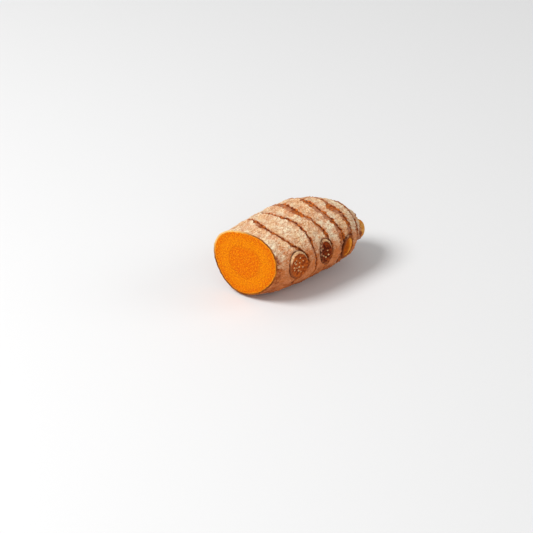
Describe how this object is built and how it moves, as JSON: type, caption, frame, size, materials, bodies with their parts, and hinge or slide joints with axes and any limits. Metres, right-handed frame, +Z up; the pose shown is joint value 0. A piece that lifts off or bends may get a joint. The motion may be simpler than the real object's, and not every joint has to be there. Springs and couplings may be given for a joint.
{
  "type": "turmeric root",
  "caption": "Piece of fresh turmeric root, cut across at one end, with ring scars, bud scars and a blunt budded tip.",
  "frame": {"origin": "on the surface that the root rests on, under the middle of its bounding box", "axes": "+X along the root from its cut face to its tip, +Z up, -Y the side with the bud scars"},
  "size_m": [0.0428, 0.0251, 0.0231],
  "materials": {
    "skin": "dry matt skin, tan with rust-brown ring scars",
    "flesh": "moist cut flesh, saturated orange"
  },
  "bodies": {
    "root": {"turmeric_root": "skin"}
  },
  "joints": []
}
